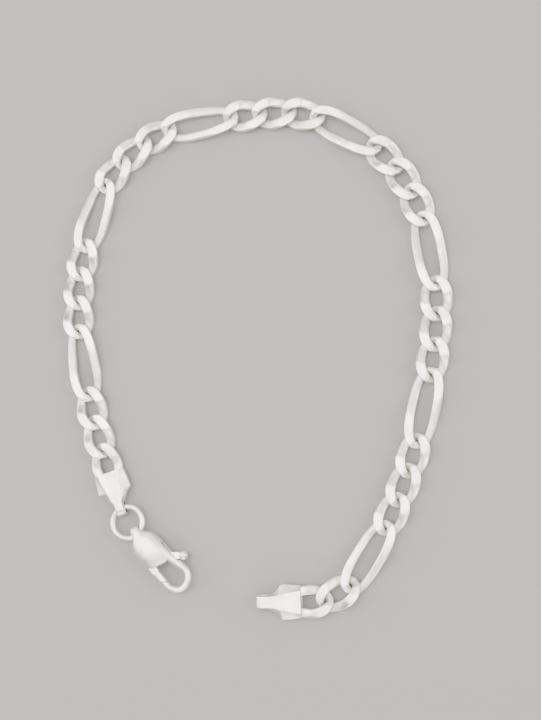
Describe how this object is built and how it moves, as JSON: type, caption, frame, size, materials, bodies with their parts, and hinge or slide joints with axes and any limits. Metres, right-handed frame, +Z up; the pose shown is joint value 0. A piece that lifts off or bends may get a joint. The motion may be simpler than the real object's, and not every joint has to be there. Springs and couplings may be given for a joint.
{
  "type": "figaro chain bracelet",
  "caption": "Polished silver Figaro curb chain bracelet with folded end caps, a jump ring and a lobster clasp with a sprung lever, unfastened and laid in an open loop.",
  "frame": {"origin": "middle of the laid loop's bounding box, on the surface that it lies on", "axes": "+Z up from the surface, +Y along the loop's longer side, away from the clasp, +X across the loop, from the clasp's side towards the free end's side"},
  "size_m": [0.0608, 0.0798, 0.003],
  "materials": {
    "silver": "polished sterling silver with fine wear scratches, a little tarnish in the recesses"
  },
  "bodies": {
    "bracelet": {"clasp_body": "silver", "clasp_side_end_cap": "silver", "free_side_end_cap": "silver", "jump_ring": "silver", "long_link_1": "silver", "long_link_2": "silver", "long_link_3": "silver", "long_link_4": "silver", "long_link_5": "silver", "long_link_6": "silver", "long_link_7": "silver", "short_link_01": "silver", "short_link_02": "silver", "short_link_03": "silver", "short_link_04": "silver", "short_link_05": "silver", "short_link_06": "silver", "short_link_07": "silver", "short_link_08": "silver", "short_link_09": "silver", "short_link_10": "silver", "short_link_11": "silver", "short_link_12": "silver", "short_link_13": "silver", "short_link_14": "silver", "short_link_15": "silver", "short_link_16": "silver", "short_link_17": "silver", "short_link_18": "silver", "short_link_19": "silver", "short_link_20": "silver", "short_link_21": "silver"},
    "lever": {"clasp_lever": "silver"}
  },
  "joints": [
    {"name": "lever_pivot", "type": "hinge", "parent": "bracelet", "child": "lever", "pos_m": [-0.01603, -0.03087, 0.0015], "axis": [0, 0, 1], "range_deg": [0, 28], "stiffness_Nm_per_rad": 0.004}
  ]
}
